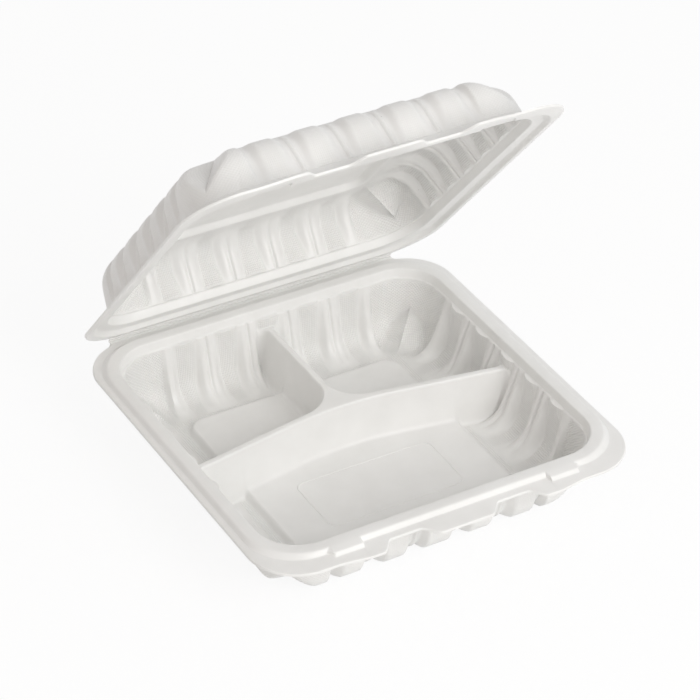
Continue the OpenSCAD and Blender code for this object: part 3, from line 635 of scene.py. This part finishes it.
def make_plastic():
    """Pale filled plastic: a fine embossed lattice with painted shade in its hollows and painted highlight on its
    ridges, faint mottling and a few dark specks.
    """
    material = bpy.data.materials.new("filled_plastic")
    material.use_nodes = True
    nodes, links = material.node_tree.nodes, material.node_tree.links
    shader = nodes["Principled BSDF"]
    shader.inputs["Roughness"].default_value = 0.34
    shader.inputs["IOR"].default_value = 1.49
    shader.inputs["Specular IOR Level"].default_value = 0.5

    def math_node(kind, a, b=None):
        node = nodes.new("ShaderNodeMath")
        node.operation = kind
        for socket, value in zip(node.inputs, (a, b)):
            if value is None:
                continue
            if isinstance(value, (int, float)):
                socket.default_value = value
            else:
                links.new(value, socket)
        return node.outputs[0]

    def attribute(name):
        node = nodes.new("ShaderNodeAttribute")
        node.attribute_name = name
        split = nodes.new("ShaderNodeSeparateXYZ")
        links.new(node.outputs["Vector"], split.inputs[0])
        return split.outputs

    def lattice(a, b, mask):
        wave_a = math_node("SINE", math_node("MULTIPLY", a, 2 * math.pi / LATTICE_PITCH))
        wave_b = math_node("SINE", math_node("MULTIPLY", b, 2 * math.pi / LATTICE_PITCH))
        return math_node("MULTIPLY", math_node("MULTIPLY", wave_a, wave_b), mask)

    wall = attribute("wall_lattice")
    walls = lattice(wall[0], wall[1], wall[2])
    place = attribute("floor_lattice")
    slant_a = math_node("MULTIPLY", math_node("ADD", place[0], place[1]), math.sqrt(0.5))
    slant_b = math_node("MULTIPLY", math_node("SUBTRACT", place[0], place[1]), math.sqrt(0.5))
    floors = lattice(slant_a, slant_b, place[2])
    both = math_node("ADD", walls, floors)

    coordinates = nodes.new("ShaderNodeTexCoord")
    grain = nodes.new("ShaderNodeTexNoise")
    grain.inputs["Scale"].default_value = 900
    grain.inputs["Detail"].default_value = 3
    links.new(coordinates.outputs["Object"], grain.inputs["Vector"])
    mottle = nodes.new("ShaderNodeTexNoise")
    mottle.inputs["Scale"].default_value = 55
    mottle.inputs["Detail"].default_value = 4
    links.new(coordinates.outputs["Object"], mottle.inputs["Vector"])
    specks = nodes.new("ShaderNodeTexVoronoi")
    specks.inputs["Scale"].default_value = 62
    links.new(coordinates.outputs["Object"], specks.inputs["Vector"])
    few = nodes.new("ShaderNodeSeparateColor")
    links.new(specks.outputs["Color"], few.inputs[0])
    dot = math_node("LESS_THAN", specks.outputs["Distance"], 0.016)
    dark = math_node("MULTIPLY", dot, math_node("GREATER_THAN", few.outputs[0], 0.72))

    tone = nodes.new("ShaderNodeValToRGB")
    tone.color_ramp.elements[0].position = 0.3
    tone.color_ramp.elements[0].color = (0.845, 0.842, 0.826, 1)
    tone.color_ramp.elements[1].position = 0.7
    tone.color_ramp.elements[1].color = (0.885, 0.882, 0.868, 1)
    links.new(mottle.outputs["Fac"], tone.inputs["Fac"])
    speckled = nodes.new("ShaderNodeMix")
    speckled.data_type = "RGBA"
    links.new(math_node("MULTIPLY", dark, 0.55), speckled.inputs["Factor"])
    links.new(tone.outputs["Color"], speckled.inputs["A"])
    speckled.inputs["B"].default_value = (0.12, 0.09, 0.06, 1)
    # The lattice lightens its ridges and darkens its hollows in the base colour: painted highlight and painted shade
    # that follow the relief
    painted_lattice_shade = math_node("ADD", math_node("MULTIPLY", both, LATTICE_PAINTED_SHADE), 1.0)
    painted_shade_colour = nodes.new("ShaderNodeVectorMath")
    painted_shade_colour.operation = "SCALE"
    links.new(speckled.outputs["Result"], painted_shade_colour.inputs[0])
    links.new(painted_lattice_shade, painted_shade_colour.inputs["Scale"])
    links.new(painted_shade_colour.outputs[0], shader.inputs["Base Color"])

    pattern = math_node("MULTIPLY", both, LATTICE_DEPTH)
    height = math_node("ADD", pattern, math_node("MULTIPLY", grain.outputs["Fac"], GRAIN_DEPTH))
    bump = nodes.new("ShaderNodeBump")
    bump.inputs["Strength"].default_value = 1.0
    bump.inputs["Distance"].default_value = MM
    links.new(height, bump.inputs["Height"])
    links.new(bump.outputs["Normal"], shader.inputs["Normal"])
    return material


def make_camera():
    data = bpy.data.cameras.new("camera")
    data.sensor_width = SENSOR_MM
    data.lens = FOCAL_PX * SENSOR_MM / IMAGE_PX
    data.clip_end = 20.0
    camera = bpy.data.objects.new("camera", data)
    az, el, roll = (math.radians(a) for a in (AZIMUTH, ELEVATION, ROLL))
    forward = Vector((math.sin(az) * math.cos(el), math.cos(az) * math.cos(el), -math.sin(el)))
    level = Vector((math.cos(az), -math.sin(az), 0))
    upward = level.cross(forward)
    right = level * math.cos(roll) + upward * math.sin(roll)
    up = upward * math.cos(roll) - level * math.sin(roll)
    camera.matrix_world = Matrix((right, up, -forward)).transposed().to_4x4()
    camera.location = CAMERA_AT
    bpy.context.collection.objects.link(camera)
    bpy.context.scene.camera = camera


def make_light(name, energy, size, place, target, colour):
    data = bpy.data.lights.new(name, "AREA")
    data.energy = energy
    data.size = size
    data.color = colour
    light = bpy.data.objects.new(name, data)
    light.location = place
    light.rotation_euler = (Vector(target) - Vector(place)).to_track_quat("-Z", "Y").to_euler()
    bpy.context.collection.objects.link(light)


def make_world():
    world = bpy.data.worlds.new("studio")
    bpy.context.scene.world = world
    world.use_nodes = True
    nodes, links = world.node_tree.nodes, world.node_tree.links
    nodes.clear()
    path = nodes.new("ShaderNodeLightPath")
    seen = nodes.new("ShaderNodeMath")
    seen.operation = "MAXIMUM"
    links.new(path.outputs["Is Camera Ray"], seen.inputs[0])
    links.new(path.outputs["Is Glossy Ray"], seen.inputs[1])
    shown = nodes.new("ShaderNodeMath")
    shown.operation = "MAXIMUM"
    links.new(seen.outputs[0], shown.inputs[0])
    links.new(path.outputs["Is Transmission Ray"], shown.inputs[1])
    ambient = nodes.new("ShaderNodeBackground")
    ambient.inputs["Strength"].default_value = 0.64
    direction = nodes.new("ShaderNodeTexCoord")
    split = nodes.new("ShaderNodeSeparateXYZ")
    links.new(direction.outputs["Generated"], split.inputs[0])
    spread = nodes.new("ShaderNodeMapRange")
    spread.inputs["From Min"].default_value = -0.8
    spread.inputs["From Max"].default_value = 0.5
    links.new(split.outputs[0], spread.inputs["Value"])
    tint = nodes.new("ShaderNodeMix")
    tint.data_type = "RGBA"
    tint.inputs["A"].default_value = (0.70, 0.65, 0.62, 1)
    tint.inputs["B"].default_value = (0.98, 0.99, 1.0, 1)
    links.new(spread.outputs["Result"], tint.inputs["Factor"])
    links.new(tint.outputs["Result"], ambient.inputs["Color"])
    white = nodes.new("ShaderNodeBackground")
    white.inputs["Color"].default_value = (1, 1, 1, 1)
    white.inputs["Strength"].default_value = 1.0
    mix = nodes.new("ShaderNodeMixShader")
    links.new(shown.outputs[0], mix.inputs["Fac"])
    links.new(ambient.outputs[0], mix.inputs[1])
    links.new(white.outputs[0], mix.inputs[2])
    out = nodes.new("ShaderNodeOutputWorld")
    links.new(mix.outputs[0], out.inputs["Surface"])


def make_floor():
    """A pale floor whose own light, for the camera and reflections, keeps it near white around the shadow."""
    mesh = bpy.data.meshes.new("floor")
    mesh.from_pydata([(-6, -6, 0), (6, -6, 0), (6, 6, 0), (-6, 6, 0)], [], [(0, 1, 2, 3)])
    floor = bpy.data.objects.new("floor", mesh)
    bpy.context.collection.objects.link(floor)
    material = bpy.data.materials.new("floor")
    material.use_nodes = True
    nodes, links = material.node_tree.nodes, material.node_tree.links
    shader = nodes["Principled BSDF"]
    shader.inputs["Base Color"].default_value = (0.92, 0.92, 0.92, 1)
    shader.inputs["Roughness"].default_value = 1.0
    glow = nodes.new("ShaderNodeEmission")
    glow.inputs["Color"].default_value = (1, 1, 1, 1)
    glow.inputs["Strength"].default_value = 1.02
    path = nodes.new("ShaderNodeLightPath")
    seen = nodes.new("ShaderNodeMath")
    seen.operation = "MAXIMUM"
    links.new(path.outputs["Is Camera Ray"], seen.inputs[0])
    links.new(path.outputs["Is Glossy Ray"], seen.inputs[1])
    share = nodes.new("ShaderNodeMath")
    share.operation = "MULTIPLY"
    links.new(seen.outputs[0], share.inputs[0])
    share.inputs[1].default_value = 0.87
    mix = nodes.new("ShaderNodeMixShader")
    links.new(share.outputs[0], mix.inputs["Fac"])
    links.new(shader.outputs[0], mix.inputs[1])
    links.new(glow.outputs[0], mix.inputs[2])
    links.new(mix.outputs[0], nodes["Material Output"].inputs["Surface"])
    mesh.materials.append(material)


plastic = make_plastic()
half_turn = Matrix.Rotation(math.pi, 4, "X")
gap = Matrix.Translation((0, -AXIS_Y * MM, CLOSE_GAP / 2 * MM))
opened = Matrix.Translation((0, AXIS_Y * MM, AXIS_Z * MM)) @ Matrix.Rotation(-math.radians(LID_ANGLE), 4, "X")

tray_piece = formed_sheet("fine_tray", True, Matrix.Identity(4), plastic)
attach(tray_piece, "base")
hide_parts("base_tray")

lid_piece = formed_sheet("fine_lid", False, opened @ gap @ half_turn, plastic)
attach(lid_piece, "lid")
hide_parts("lid")

web_piece = hinge_web(plastic)
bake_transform(web_piece)

line_piece = frame_line(plastic)
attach(line_piece, "base")

make_camera()
make_light("key", 18, 1.2, (0.35, -1.65, 1.1), (0, 0, 0.05), (1.0, 0.99, 0.975))
make_light("fill", 3, 1.6, (-1.4, -0.6, 1.2), (0, 0, 0.05), (1.0, 0.97, 0.94))
make_world()
make_floor()
bpy.context.scene.view_settings.view_transform = "Standard"
